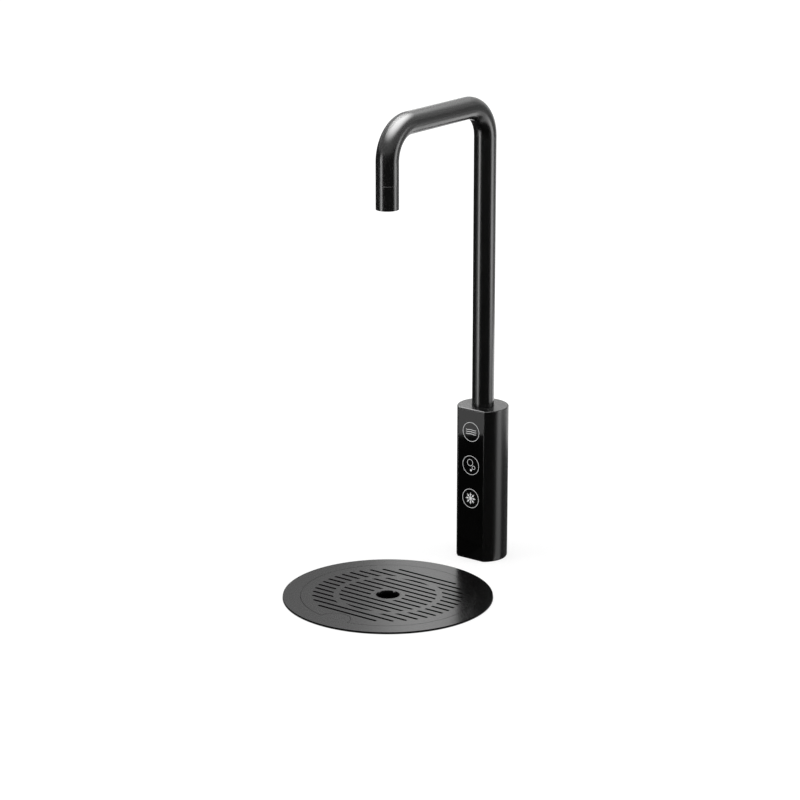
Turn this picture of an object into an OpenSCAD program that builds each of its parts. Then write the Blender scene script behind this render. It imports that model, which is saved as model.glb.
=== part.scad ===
// Sparkling water tap for a kitchen worktop.
// A round column with a flat touch panel carries a swivelling spout. The spout ends over a round
// drip tray that is let into the worktop. Below the worktop are the clamp and the inlets.
// All sizes are in millimetres. The origin is on the column's axis, on top of the worktop.
// +Z is up, and the touch panel and the spout face -Y.

/* [Worktop] */
// Thickness of the worktop that the column is clamped to
worktop_t = 30; // [20:1:40]

/* [Column] */
// Diameter of the round part of the column
body_d = 50; // [49:0.5:56]
// Height of the column above the worktop
body_h = 153.5; // [151:0.5:175]
// Wall of the round part of the shell
shell_wall = 2.5; // [2:0.1:3]
// Thickness of the shell's top
top_wall = 3; // [2.5:0.1:4]
// Radius of the eased edge round the shell's top
top_edge_r = 0.9; // [0.4:0.1:1.5]
// Height of the plinth that shows below the shell
plinth_h = 1; // [0.6:0.1:1.5]
// Step from the shell's outline in to the plinth
plinth_step = 0.6; // [0.3:0.1:1.2]
// Height of the base plate's top above the worktop
base_top = 8; // [7.5:0.5:10]
// Gap between the shell's inside and the base plate's spigot
spigot_gap = 0.1; // [0.05:0.05:0.3]
// Gap between the spout tube and the hole in the shell's top
neck_gap = 0.3; // [0.3:0.05:0.6]

/* [Touch panel] */
// Width of the shell's edge beside the touch panel
panel_edge = 0.8; // [0.4:0.1:1.6]
// Thickness of the touch panel's glass
panel_t = 2; // [1.6:0.1:2.3]
// Height of the panel's lower edge above the worktop
panel_low = 2.2; // [2:0.1:6]
// Distance from the shell's top down to the panel's upper edge
panel_drop = 2.1; // [1.9:0.1:6]
// Gap round the panel in its recess
panel_gap = 0.1; // [0.05:0.05:0.2]
// Thickness of the bond behind the panel
bond_t = 0.3; // [0.2:0.05:0.5]
// Width of the ledge that the bond holds the panel on
bond_w = 2.4; // [1.8:0.1:3]
// Metal left behind the panel's ledge
ledge_t = 1.7; // [1.4:0.1:2]
// Thickness of the touch board
board_t = 1.4; // [1:0.1:1.6]
// Gap between the swivel's housing and the touch board
housing_gap = 0.7; // [0.5:0.1:1.5]
// Gap between the touch board and the shell's top
board_gap = 0.4; // [0.3:0.1:1]
// How far the touch board reaches over the ledge
board_lap = 3; // [2.6:0.1:3.2]
// Distance from the shell's top down to the uppermost touch ring's centre
ring_drop = 22.9; // [18:0.1:30]
// Distance from one touch ring's centre to the next
ring_pitch = 34; // [26:0.5:36]
// Gap beside the light spreader behind each touch ring
spreader_gap = 1.3; // [0.5:0.1:3]

/* [Spout] */
// Outside diameter of the spout tube
tube_d = 21.5; // [20:0.1:22]
// Wall of the spout tube
tube_wall = 1.25; // [1:0.05:1.5]
// Height of the spout arm's centre line
arm_h = 450; // [360:1:520]
// Distance from the column's axis to the outlet's axis
reach = 152; // [140:1:200]
// Centre line radius of the spout's bends
bend_r = 31; // [26:0.5:45]
// Length of the spout tube inside the column
tube_lap = 61.5; // [54:0.5:74]
// How far the spout swings to each side, in degrees
swing = 60; // [30:1:75]

/* [Swivel bearing] */
// Running gap between the spout tube and its bushes
run_gap = 0.05; // [0.02:0.01:0.08]
// Wall of the bushes
bush_wall = 1.45; // [1.2:0.05:1.6]
// Height of each bush
bush_h = 12; // [8:0.5:14]
// Height of the friction ring
friction_h = 2; // [1.5:0.1:3]
// Thickness of the washer that the spout tube stands on
thrust_t = 1.2; // [0.8:0.1:2]
// Wall of the housing outside the bushes
housing_wall = 1.25; // [1:0.05:1.4]
// Thickness of the housing's foot flange
foot_flange_t = 3; // [2:0.1:4]
// Gap between the housing's foot flange and the shell
foot_flange_gap = 1.2; // [0.8:0.1:1.6]
// Gap between the housing and the heads of its screws
foot_screw_gap = 1; // [0.8:0.1:1.2]
// Width of the window in the housing that the sensor lead goes through
lead_window_w = 13; // [12:0.5:16]
// Height of the top of that window above the worktop
lead_window_top = 34; // [30:0.5:50]
// Diameter of the stop screw
stop_d = 4; // [3:0.1:5]
// Diameter of the stop screw's tip
stop_tip_d = 3.2; // [2.4:0.1:3.6]
// Height of the stop screw above the spout tube's foot
stop_lift = 20; // [18:0.5:26]
// Gap between the stop screw's tip and the slot in the tube
stop_gap = 0.3; // [0.2:0.05:0.5]

/* [Water lines] */
// Outside diameter of the two water lines
line_d = 6; // [5:0.1:6.4]
// Bore of the water lines
line_bore = 4; // [3:0.1:4.4]
// Gap between the water lines and the inside of the spout tube
line_gap = 1; // [0.6:0.1:1.3]
// Gap between the fixed lines and the spout's lines at the swivel
line_break = 0.8; // [0.6:0.1:1]
// Diameter of the sensor lead
lead_d = 3; // [2:0.1:3.4]
// Distance from the column's axis to the sensor lead
lead_reach = 8; // [7.4:0.1:8.4]

/* [Nozzle] */
// Distance from the arm's centre line down to the outlet
outlet_drop = 75; // [68:1:150]
// Height of the nozzle sleeve
sleeve_h = 23; // [18:0.5:26]
// Step from the tube's inside in to the spigot that the sleeve slides on
nozzle_step = 0.3; // [0.2:0.05:0.5]
// Length of that spigot
nozzle_spigot_h = 13; // [10:0.5:14]
// Length of the insert inside the spout tube
insert_h = 11; // [9:0.5:12]
// Depth that the water lines go into the insert
line_seat = 6; // [4:0.5:7]
// Section of the seal ring on the nozzle spigot
nozzle_seal_w = 1.2; // [1:0.1:1.4]
// Height of the chamber where the two lines meet
mixing_h = 4; // [3:0.5:4.5]
// Height of the lip that carries the flow straightener
lip_h = 1.2; // [0.8:0.1:2]
// Width of that lip
lip_w = 1; // [0.8:0.1:1.4]
// Thickness of the flow straightener
straightener_t = 4; // [3:0.5:5]
// Size across corners of the straightener's cells
cell_d = 2.4; // [2:0.1:2.6]
// Distance between the straightener's cells
cell_pitch = 2.6; // [2.6:0.1:3]

/* [Clamp and inlets] */
// Outside diameter of the shank
shank_d = 28; // [27:0.5:30]
// Bore of the shank
shank_bore = 22; // [20.6:0.1:22.4]
// How far the shank reaches up into the base plate
shank_lap = 6; // [4:0.5:6.5]
// Length of the shank below the lock nut
shank_tail = 12; // [8:1:30]
// Outside diameter of the clamp washer and its gasket
washer_d = 44; // [40:1:50]
// Thickness of the rubber gasket under the worktop
gasket_t = 2; // [1:0.5:3]
// Thickness of the clamp washer
washer_t = 2; // [1:0.5:3]
// Size across the flats of the lock nut
nut_af = 36; // [34:0.5:40]
// Height of the lock nut
nut_h = 9; // [7:0.5:12]
// Width of the seal ring in the base plate's foot
base_seal_w = 3; // [2:0.1:4]
// Gap between the shank and that seal ring
base_seal_gap = 1.2; // [1:0.1:1.6]
// Depth of that seal ring's groove
base_seal_t = 0.8; // [0.4:0.1:0.9]
// Step from the shank in to the inlet block, so that the lock nut passes over it
block_step = 0.8; // [0.5:0.1:1]
// Height of the inlet block's flange
block_h = 17; // [16:0.5:22]
// Length of the inlet block's plug in the shank
block_plug_h = 8; // [6:0.5:10]
// Distance between the two water inlets' centres
inlet_pitch = 11; // [10.5:0.1:11.6]
// Bore of the two water inlets, for quarter inch tube
inlet_bore = 6.5; // [6.4:0.05:6.6]
// Depth of the water inlets
inlet_depth = 14; // [12:0.5:15]
// Depth of the collets in the inlets' mouths
collet_h = 3; // [2:0.1:4]
// Wall of the collets
collet_wall = 1.2; // [1:0.1:1.4]
// Height that the collets stand out below the block
collet_lip_h = 1.5; // [1:0.1:2]
// Bore of the signal socket
signal_bore = 3.5; // [2.5:0.1:4]
// Depth of the signal socket's bore
signal_depth = 9; // [7:0.5:12]
// Wall at the inner end of the signal socket
signal_wall = 2; // [1:0.5:3]
// Outside diameter of the signal socket
signal_d = 6; // [5:0.1:6.6]

/* [Drip tray] */
// Diameter of the tray
tray_d = 199; // [190:1:230]
// Height of the tray's top above the worktop
tray_top = 1.9; // [1.6:0.1:2.5]
// Thickness of the tray's rim plate
rim_t = 1.3; // [1:0.1:1.4]
// Radius of the eased edge round the rim
rim_edge_r = 0.2; // [0.1:0.05:0.5]
// Width of the tray's plain rim round the lift out grille
rim_w = 16.45; // [12:0.05:24]
// Thickness of the grille
grille_t = 2.6; // [2.4:0.1:3]
// Gap between the grille and the rim
seam_gap = 0.35; // [0.3:0.05:0.6]
// Radius of the lobe on the rim
lobe_r = 15; // [10:0.5:18]
// Distance from the rim's inner edge in to the lobe's centre
lobe_sink = 1.55; // [0:0.05:4]
// Least metal between the lobe and the slots
lobe_edge = 2; // [1:0.5:4]
// Width of the slots
slot_w = 3; // [2:0.1:4]
// Distance from one row of slots to the next
slot_pitch = 8.9; // [8:0.1:12]
// Width of the grille's plain edge outside the slots
slot_edge = 10.7; // [8:0.1:20]
// Inner radius of the plain ring across the slots
band_in = 46.2; // [40:0.1:47]
// Outer radius of the plain ring across the slots
band_out = 51.8; // [50:0.1:56]
// Radius of the plain middle of the grille
hub_r = 16.5; // [15.5:0.1:20]
// Diameter of the hole in the middle of the grille
hole_d = 23.2; // [20:0.2:26]
// Height of the collar round that hole
collar_h = 4; // [3:0.5:8]
// Wall of the collar
collar_wall = 1.2; // [1:0.1:1.5]
// Width of the ledge that carries the grille
ledge_w = 6; // [4:0.5:10]
// Diameter of the pads that the grille lies on
pad_d = 4; // [3:0.5:5]
// Thickness of the pads that the grille lies on
pad_t = 0.5; // [0.3:0.1:1]
// Number of pads that the grille lies on
pad_count = 4; // [3:1:8]
// Wall of the tray's tub
tub_wall = 2; // [1.5:0.1:3]
// Depth of the tub's wall below the worktop's top
tub_depth = 16; // [12:1:26]
// Fall of the tub's floor to its drain
floor_fall = 4; // [2:0.5:8]
// Outside diameter of the drain spigot
drain_d = 20; // [19:0.5:25]
// Wall of the drain spigot
drain_wall = 2; // [1.5:0.1:3]
// Length of the drain spigot
drain_h = 26; // [22:1:40]
// Diameter of the strainer over the drain
strainer_d = 30; // [28:0.5:40]
// Thickness of the strainer
strainer_t = 1.2; // [1:0.1:2]
// Diameter of the strainer's holes
strainer_hole_d = 2.2; // [1.6:0.1:2.4]
// Width of the seal ring under the rim
tray_seal_w = 8; // [6:0.5:9]

/* [Screws] */
// Diameter of the housing's screws
foot_screw_d = 3; // [2.5:0.1:3]
// Length of the housing's screws below their heads
foot_screw_len = 8; // [6:0.5:9]
// Diameter of the screws that hold the shell
shell_screw_d = 4; // [3:0.1:4]
// Length of the screws that hold the shell
shell_screw_len = 5; // [4:0.5:6]
// Diameter of the board's screws
board_screw_d = 2; // [1.6:0.1:2.2]

/* [Hidden] */
$fn = 96;

// A little extra that cutting shapes reach past the surfaces they cut
cut = 1;

// Share of a screw's diameter that its head measures across
head_share = 1.75;

// Swivel, from the tube outwards
tube_r = tube_d / 2;
tube_in_r = tube_r - tube_wall;
bush_in_r = tube_r + run_gap;
bush_r = bush_in_r + bush_wall;
housing_r = bush_r + housing_wall;

// Column, from the housing outwards to the front flat
body_r = body_d / 2;
cavity_r = body_r - shell_wall;
board_back = housing_r + housing_gap;
cavity_flat = board_back + board_t;
panel_seat = cavity_flat + ledge_t;
flat_reach = panel_seat + bond_t + panel_t;
flat_half = sqrt(body_r * body_r - flat_reach * flat_reach);
cavity_top = body_h - top_wall;
spigot_r = cavity_r - spigot_gap;
spigot_flat = cavity_flat - spigot_gap;
shell_screw_sink = 0.4;
shell_screw_turn = 45;

// Touch panel
panel_w = 2 * (flat_half - panel_edge);
panel_high = body_h - panel_drop;
window_w = panel_w - 2 * bond_w;
window_low = panel_low + bond_w + base_top;
window_high = cavity_top - board_gap - board_lap;
ring_top_z = body_h - ring_drop;
spreader_d = window_w - 2 * spreader_gap;
spreader_t = bond_t + ledge_t;
board_w = window_w + 2 * board_lap;
board_low = window_low - board_lap;
board_high = window_high + board_lap;
board_screw_x = (window_w + board_lap) / 2;
board_screw_head_d = 1.6 * board_screw_d;
board_screw_head_h = board_screw_d / 2;
board_screw_bite = ledge_t - 0.5;
connector_w = 9;
connector_h = 10;
connector_z = board_low + board_lap;

// Housing's foot
foot_gap = 0.5;
foot_flat = board_back - board_screw_head_h - foot_gap;
foot_flange_r = cavity_r - foot_flange_gap;
foot_screw_circle = housing_r + foot_screw_gap + head_share * foot_screw_d / 2;

// Swivel, from the washer upwards
tube_foot = body_h - tube_lap;
thrust_z = tube_foot - thrust_t;
upper_bush_z = cavity_top - bush_h;
friction_z = upper_bush_z - friction_h;
lower_bush_z = tube_foot;
spacer_z = lower_bush_z + bush_h;
stop_z = tube_foot + stop_lift;
spacer_in_r = tube_r + stop_gap;
slot_half_h = stop_tip_d / 2 + stop_gap;
slot_half_angle = swing + asin((stop_tip_d / 2 + stop_gap / 2) / tube_in_r);
stop_inset = 0.2;
stop_tip_in = tube_in_r + stop_inset;
stop_shoulder = spacer_in_r + stop_inset;
stop_stand = 0.8;
stop_out = housing_r + stop_stand;
stop_socket_h = 1.2;

// Water lines
line_r = line_d / 2;
line_x = tube_in_r - line_gap - line_r;
lead_r = lead_d / 2;

// Nozzle
outlet_h = arm_h - outlet_drop;
seam_z = outlet_h + sleeve_h;
nozzle_spigot_r = tube_in_r - nozzle_step;
sleeve_in_r = nozzle_spigot_r + run_gap;
insert_top = seam_z + insert_h;
mixing_gap = 0.3;
spigot_end = seam_z - nozzle_spigot_h;
nozzle_seal_drop = 0.6 * nozzle_spigot_h;
nozzle_seal_z = seam_z - nozzle_seal_drop;
nozzle_seal_in_r = nozzle_spigot_r - nozzle_seal_w;
mixing_r = line_x + line_bore / 2 + mixing_gap;
sleeve_edge = 0.15;
cell_rim = 0.9;

// Clamp below the worktop, from the worktop downwards
shank_r = shank_d / 2;
shank_in_r = shank_bore / 2;
base_seal_r = shank_r + base_seal_gap;
gasket_z = -worktop_t - gasket_t;
washer_z = gasket_z - washer_t;
nut_z = washer_z - nut_h;
shank_end = nut_z - shank_tail;
block_r = shank_r - block_step;
block_top = shank_end + block_plug_h;
block_end = shank_end - block_h;
inlet_x = inlet_pitch / 2;
collet_r = inlet_bore / 2 + collet_wall;
collet_lip_gap = 0.3;
collet_lip_r = inlet_x - collet_lip_gap;
inlet_seal_h = 1.5;
inlet_seal_z = block_end + collet_h;
signal_h = signal_depth + signal_wall;
lead_end = block_end + signal_h;

// Drip tray, from its rim inwards and from its top downwards
tray_r = tray_d / 2;
rim_in_r = tray_r - rim_w;
grille_r = rim_in_r - seam_gap;
rim_under = tray_top - rim_t;
grille_under = tray_top - grille_t;
ledge_z = grille_under - pad_t;
bowl_r = rim_in_r - ledge_w;
tub_flange = 1;
tub_ring_r = rim_in_r + tub_wall + tub_flange;
drain_r = drain_d / 2;
drain_in_r = drain_r - drain_wall;
strainer_r = strainer_d / 2;
strainer_gap = 0.2;
strainer_seat_r = strainer_r + strainer_gap;
strainer_row = 0.4 * drain_in_r;
floor_low = -tub_depth - floor_fall;
strainer_z = floor_low - strainer_t;
drain_top = strainer_z - tub_wall;
drain_end = drain_top - drain_h;
drain_lead_h = 1;
drain_lead_w = 0.6;
tray_seal_inset = 1.5;
tray_seal_r = tray_r - tray_seal_inset;
pad_circle = bowl_r + ledge_w / 2;
pad_turn = 45;

// Slots of the grille
lobe_reach = rim_in_r - lobe_sink;
slot_reach = grille_r - slot_edge;
slot_limit = lobe_reach - lobe_r - seam_gap - lobe_edge - slot_w / 2;
slot_steps = floor(min(slot_reach - slot_w, slot_limit) / slot_pitch);

// Outline of the column seen from above: a circle with a flat at the front
module d_outline(r, flat) {
    intersection() {
        circle(r);
        translate([-r, -flat]) square([2 * r, flat + r]);
    }
}

// Rectangle from the axis outwards with its upper outer corner rounded
module eased_profile(w, h, edge) {
    square([w, h - edge]);
    square([w - edge, h]);
    translate([w - edge, h - edge]) circle(edge);
}

// Ring standing on height z
module ring(outer, inner, z, h) {
    translate([0, 0, z]) linear_extrude(h) difference() {
        circle(outer);
        circle(inner);
    }
}

// Socket head screw with its head standing on the origin, pointing down
module socket_screw(d, length) {
    difference() {
        union() {
            translate([0, 0, -length]) cylinder(d = d, h = length);
            cylinder(d = head_share * d, h = d);
        }
        translate([0, 0, d / 2]) cylinder(d = d, h = d, $fn = 6);
    }
}

// Solid of the column's outside, with eased top edges
module column_form(r, flat, h, edge) {
    intersection() {
        rotate_extrude() eased_profile(r, h, edge);
        union() {
            translate([-r - cut, 0, 0]) cube([2 * (r + cut), r + cut, h + cut]);
            rotate([0, 0, -90]) rotate([90, 0, 0])
                translate([0, 0, -r - cut]) linear_extrude(2 * (r + cut)) eased_profile(flat, h, edge);
        }
    }
}

module panel_recess() {
    translate([-panel_w / 2 - panel_gap, -flat_reach - cut, panel_low - panel_gap])
        cube([panel_w + 2 * panel_gap, flat_reach + cut - panel_seat,
              panel_high - panel_low + 2 * panel_gap]);
}

module panel_window() {
    translate([-window_w / 2, -panel_seat - cut, window_low])
        cube([window_w, panel_seat + cut, window_high - window_low]);
}

// Places of the screws that hold the shell to the base plate, at the back
module at_shell_screws() {
    for (side = [-1, 1])
        rotate([0, 0, side * shell_screw_turn])
            translate([0, body_r - shell_screw_sink, (base_top + plinth_h) / 2])
            rotate([-90, 0, 0]) children();
}

// Places of the screws through the housing's foot
module at_foot_screws(z) {
    for (turn = [0, 120, 240])
        rotate([0, 0, turn]) translate([0, foot_screw_circle, z]) children();
}

module body_shell() {
    color("#1b1b1c") difference() {
        translate([0, 0, plinth_h]) column_form(body_r, flat_reach, body_h - plinth_h, top_edge_r);
        translate([0, 0, plinth_h - cut])
            linear_extrude(cavity_top - plinth_h + cut) d_outline(cavity_r, cavity_flat);
        translate([0, 0, cavity_top - cut]) cylinder(r = tube_r + neck_gap, h = top_wall + 2 * cut);
        panel_recess();
        panel_window();
        at_shell_screws() translate([0, 0, -shell_wall - cut])
            cylinder(d = shell_screw_d, h = shell_wall + 2 * cut);
        at_board_screws() translate([0, 0, -board_t / 2 - board_screw_bite])
            cylinder(d = board_screw_d, h = board_screw_bite + board_t);
    }
}

module base_plate() {
    color("#232324") difference() {
        union() {
            linear_extrude(plinth_h) d_outline(body_r - plinth_step, flat_reach - plinth_step);
            linear_extrude(base_top) d_outline(spigot_r, spigot_flat);
        }
        translate([0, 0, -cut]) cylinder(r = shank_r, h = shank_lap + cut);
        cylinder(r = shank_in_r, h = base_top + cut);
        ring(base_seal_r + base_seal_w, base_seal_r, -cut, base_seal_t + cut);
        at_foot_screws(base_top + foot_flange_t - foot_screw_len)
            cylinder(d = foot_screw_d, h = foot_screw_len);
        at_shell_screws() translate([0, 0, -shell_screw_len])
            cylinder(d = shell_screw_d, h = shell_screw_len + cut);
    }
}

module base_seal() {
    color("#101010") ring(base_seal_r + base_seal_w, base_seal_r, 0, base_seal_t);
}

module shell_screws() {
    color("#3a3a3c") at_shell_screws() difference() {
        translate([0, 0, -shell_screw_len]) cylinder(d = shell_screw_d, h = shell_screw_len);
        translate([0, 0, -shell_screw_d / 2]) cylinder(d = shell_screw_d / 2, h = shell_screw_d, $fn = 6);
    }
}

module touch_panel() {
    color("#060607") translate([-panel_w / 2, -flat_reach, panel_low])
        cube([panel_w, panel_t, panel_high - panel_low]);
}

// Frame of bonding foam between the panel and its ledge
module panel_bond() {
    color("#202020") difference() {
        translate([-panel_w / 2, -flat_reach + panel_t, panel_low])
            cube([panel_w, bond_t, panel_high - panel_low]);
        panel_window();
    }
}

// One disc behind each touch ring spreads the light of the board's lamps
module light_spreaders() {
    color("#d9dde0") for (i = [0:2])
        translate([0, -cavity_flat, ring_top_z - i * ring_pitch])
            rotate([90, 0, 0]) cylinder(d = spreader_d, h = spreader_t);
}

module touch_board() {
    color("#1d4a32") difference() {
        translate([-board_w / 2, -cavity_flat, board_low])
            cube([board_w, board_t, board_high - board_low]);
        at_board_screws() cylinder(d = board_screw_d, h = 2 * board_t, center = true);
    }
}

// Places of the board's screws, in the middle of the board's thickness
module at_board_screws() {
    for (x = [-board_screw_x, board_screw_x])
        for (z = [board_low + board_lap / 2, board_high - board_lap / 2])
            translate([x, -board_back - board_t / 2, z]) rotate([-90, 0, 0]) children();
}

module board_screws() {
    color("#8b8d90") at_board_screws() {
        translate([0, 0, -board_t / 2 - board_screw_bite])
            cylinder(d = board_screw_d, h = board_screw_bite + board_t);
        translate([0, 0, board_t / 2]) cylinder(d = board_screw_head_d, h = board_screw_head_h);
    }
}

// Plug on the back of the board that the sensor lead comes out of
module board_connector() {
    color("#e7e4da") translate([-connector_w / 2, -board_back, connector_z])
        cube([connector_w, board_back - lead_reach + lead_d, connector_h]);
}

module sensor_lead() {
    color("#141414") translate([0, -lead_reach, lead_end]) cylinder(r = lead_r, h = connector_z - lead_end);
}

// Tube on a foot flange that carries the bushes of the swivel
module spout_housing() {
    color("#a9abae") difference() {
        union() {
            translate([0, 0, base_top]) cylinder(r = housing_r, h = cavity_top - base_top);
            translate([0, 0, base_top]) linear_extrude(foot_flange_t)
                d_outline(foot_flange_r, foot_flat);
        }
        translate([0, 0, base_top - cut]) cylinder(r = tube_in_r, h = cavity_top - base_top + 2 * cut);
        translate([0, 0, thrust_z]) cylinder(r = bush_r, h = cavity_top - thrust_z + cut);
        translate([-lead_window_w / 2, -housing_r - cut, base_top - cut])
            cube([lead_window_w, housing_r + cut, lead_window_top - base_top + cut]);
        at_foot_screws(base_top - cut) cylinder(d = foot_screw_d, h = foot_flange_t + 2 * cut);
        translate([0, 0, stop_z]) rotate([-90, 0, 0]) cylinder(d = stop_d, h = housing_r + cut);
    }
}

module housing_screws() {
    color("#8b8d90") at_foot_screws(base_top + foot_flange_t) socket_screw(foot_screw_d, foot_screw_len);
}

module bush(z) {
    ring(bush_r, bush_in_r, z, bush_h);
}

module lower_bush() {
    color("#d8d4c6") bush(lower_bush_z);
}

module upper_bush() {
    color("#d8d4c6") bush(upper_bush_z);
}

// Sleeve that keeps the bushes apart, with a hole for the stop screw
module bush_spacer() {
    color("#b9bbbd") difference() {
        ring(bush_r, spacer_in_r, spacer_z, friction_z - spacer_z);
        translate([0, 0, stop_z]) rotate([-90, 0, 0]) cylinder(d = stop_d, h = housing_r);
    }
}

// Elastic ring that gives the swivel its drag
module friction_ring() {
    color("#101010") ring(bush_r, bush_in_r, friction_z, friction_h);
}

module thrust_washer() {
    color("#d8d4c6") ring(bush_r, tube_in_r, thrust_z, thrust_t);
}

// Screw whose tip runs in the slot of the spout tube
module stop_screw() {
    color("#8b8d90") translate([0, 0, stop_z]) rotate([-90, 0, 0]) difference() {
        union() {
            translate([0, 0, stop_tip_in]) cylinder(d = stop_tip_d, h = stop_shoulder - stop_tip_in);
            translate([0, 0, stop_shoulder]) cylinder(d = stop_d, h = stop_out - stop_shoulder);
        }
        translate([0, 0, stop_out - stop_socket_h])
            cylinder(d = stop_d / 2, h = stop_socket_h + cut, $fn = 6);
    }
}

module shank() {
    color("#9c8a55") ring(shank_r, shank_in_r, shank_end, shank_lap - shank_end);
}

module worktop_gasket() {
    color("#101010") ring(washer_d / 2, shank_r, gasket_z, gasket_t);
}

module clamp_washer() {
    color("#a9abae") ring(washer_d / 2, shank_r, washer_z, washer_t);
}

// Hexagon nut with its corners turned off
module lock_nut() {
    corner_r = nut_af / 2 / cos(30);
    chamfer = corner_r - nut_af / 2;
    color("#9c8a55") translate([0, 0, nut_z]) difference() {
        intersection() {
            cylinder(r = corner_r, h = nut_h, $fn = 6);
            rotate_extrude() polygon([
                [0, 0], [nut_af / 2, 0], [corner_r, chamfer / 2],
                [corner_r, nut_h - chamfer / 2], [nut_af / 2, nut_h], [0, nut_h]
            ]);
        }
        translate([0, 0, -cut]) cylinder(r = shank_r, h = nut_h + 2 * cut);
    }
}

// Block in the shank's end with an inlet for each water line and a hole for the signal socket
module inlet_block() {
    color("#2b2b2d") difference() {
        union() {
            translate([0, 0, block_end]) cylinder(r = block_r, h = block_h);
            translate([0, 0, shank_end]) cylinder(r = shank_in_r, h = block_plug_h);
        }
        for (x = [-line_x, line_x]) translate([x, 0, 0]) {
            translate([0, 0, block_top - line_seat]) cylinder(r = line_r, h = line_seat + cut);
            translate([0, 0, block_end + inlet_depth - cut])
                cylinder(d = line_bore, h = block_top - block_end - inlet_depth);
        }
        for (x = [-inlet_x, inlet_x]) translate([x, 0, 0]) {
            translate([0, 0, block_end - cut]) cylinder(d = inlet_bore, h = inlet_depth + cut);
            translate([0, 0, block_end - cut])
                cylinder(r = collet_r, h = collet_h + inlet_seal_h + cut);
        }
        translate([0, -lead_reach, block_end - cut]) cylinder(d = signal_d, h = signal_h + cut);
        translate([0, -lead_reach, block_end]) cylinder(r = lead_r, h = block_top - block_end + cut);
    }
}

module inlet_collets() {
    color("#6f7274") for (x = [-inlet_x, inlet_x]) translate([x, 0, 0]) {
        ring(collet_r, inlet_bore / 2, block_end, collet_h);
        ring(collet_lip_r, inlet_bore / 2, block_end - collet_lip_h, collet_lip_h);
    }
}

module inlet_seals() {
    color("#101010") for (x = [-inlet_x, inlet_x])
        translate([x, 0, 0]) ring(collet_r, inlet_bore / 2, inlet_seal_z, inlet_seal_h);
}

module signal_socket() {
    color("#e7e4da") translate([0, -lead_reach, block_end]) difference() {
        cylinder(d = signal_d, h = signal_h);
        translate([0, 0, -cut]) cylinder(d = signal_bore, h = signal_depth + cut);
    }
}

// Fixed stretch of a water line, from the inlet block up to the swivel
module fixed_line(x) {
    bottom = block_top - line_seat;
    translate([x, 0, 0]) ring(line_r, line_bore / 2, bottom, tube_foot - line_break - bottom);
}

module still_line() {
    color("#e9edf0") fixed_line(-line_x);
}

module sparkling_line() {
    color("#bcd6e6") fixed_line(line_x);
}

// Round pipe along the spout's centre line, moved sideways by x, from height low to height high
module spout_pipe(r, inner, x, low, high) {
    translate([x, 0, 0]) {
        ring(r, inner, low, arm_h - bend_r - low);
        translate([0, -bend_r, arm_h - bend_r]) rotate([90, 0, 90]) rotate_extrude(angle = 90)
            translate([bend_r, 0]) pipe_section(r, inner);
        translate([0, -bend_r, arm_h]) rotate([90, 0, 0]) ring(r, inner, 0, reach - 2 * bend_r);
        translate([0, bend_r - reach, arm_h - bend_r]) rotate([90, 0, 90]) rotate([0, 0, 90])
            rotate_extrude(angle = 90) translate([bend_r, 0]) pipe_section(r, inner);
        translate([0, -reach, 0]) ring(r, inner, high, arm_h - bend_r - high);
    }
}

module pipe_section(r, inner) {
    difference() {
        circle(r);
        circle(inner);
    }
}

// Bent tube with the arc slot that the stop screw runs in
module spout_tube() {
    color("#1b1b1c") difference() {
        spout_pipe(tube_r, tube_in_r, 0, tube_foot, seam_z);
        translate([0, 0, stop_z - slot_half_h]) rotate([0, 0, 90 - slot_half_angle])
            rotate_extrude(angle = 2 * slot_half_angle)
            translate([tube_in_r - cut, 0]) square([tube_wall + 2 * cut, 2 * slot_half_h]);
    }
}

module still_line_spout() {
    color("#e9edf0") spout_pipe(line_r, line_bore / 2, -line_x, tube_foot, insert_top - line_seat);
}

module sparkling_line_spout() {
    color("#bcd6e6") spout_pipe(line_r, line_bore / 2, line_x, tube_foot, insert_top - line_seat);
}

// Plug in the tube's end that takes both lines and carries the nozzle on its spigot
module outlet_insert() {
    color("#2b2b2d") translate([0, -reach, 0]) difference() {
        union() {
            translate([0, 0, seam_z]) cylinder(r = tube_in_r, h = insert_h);
            translate([0, 0, spigot_end]) cylinder(r = nozzle_spigot_r, h = nozzle_spigot_h + cut);
        }
        for (x = [-line_x, line_x]) translate([x, 0, 0]) {
            translate([0, 0, insert_top - line_seat]) cylinder(r = line_r, h = line_seat + cut);
            translate([0, 0, spigot_end]) cylinder(d = line_bore, h = insert_top - spigot_end);
        }
        translate([0, 0, spigot_end - cut]) cylinder(r = mixing_r, h = mixing_h + cut);
        ring(nozzle_spigot_r + cut, nozzle_seal_in_r, nozzle_seal_z, nozzle_seal_w);
    }
}

module nozzle_seal() {
    color("#101010") translate([0, -reach, 0])
        ring(nozzle_spigot_r, nozzle_seal_in_r, nozzle_seal_z, nozzle_seal_w);
}

// Sleeve that hides the insert, with an inner lip at its lower end
module nozzle_sleeve() {
    color("#1b1b1c") translate([0, -reach, outlet_h]) rotate_extrude() difference() {
        polygon([
            [0, 0], [tube_r - sleeve_edge, 0], [tube_r, sleeve_edge],
            [tube_r, sleeve_h - sleeve_edge], [tube_r - sleeve_edge, sleeve_h], [0, sleeve_h]
        ]);
        translate([0, lip_h]) square([sleeve_in_r, sleeve_h]);
        translate([0, -cut]) square([sleeve_in_r - lip_w, lip_h + 2 * cut]);
    }
}

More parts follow.
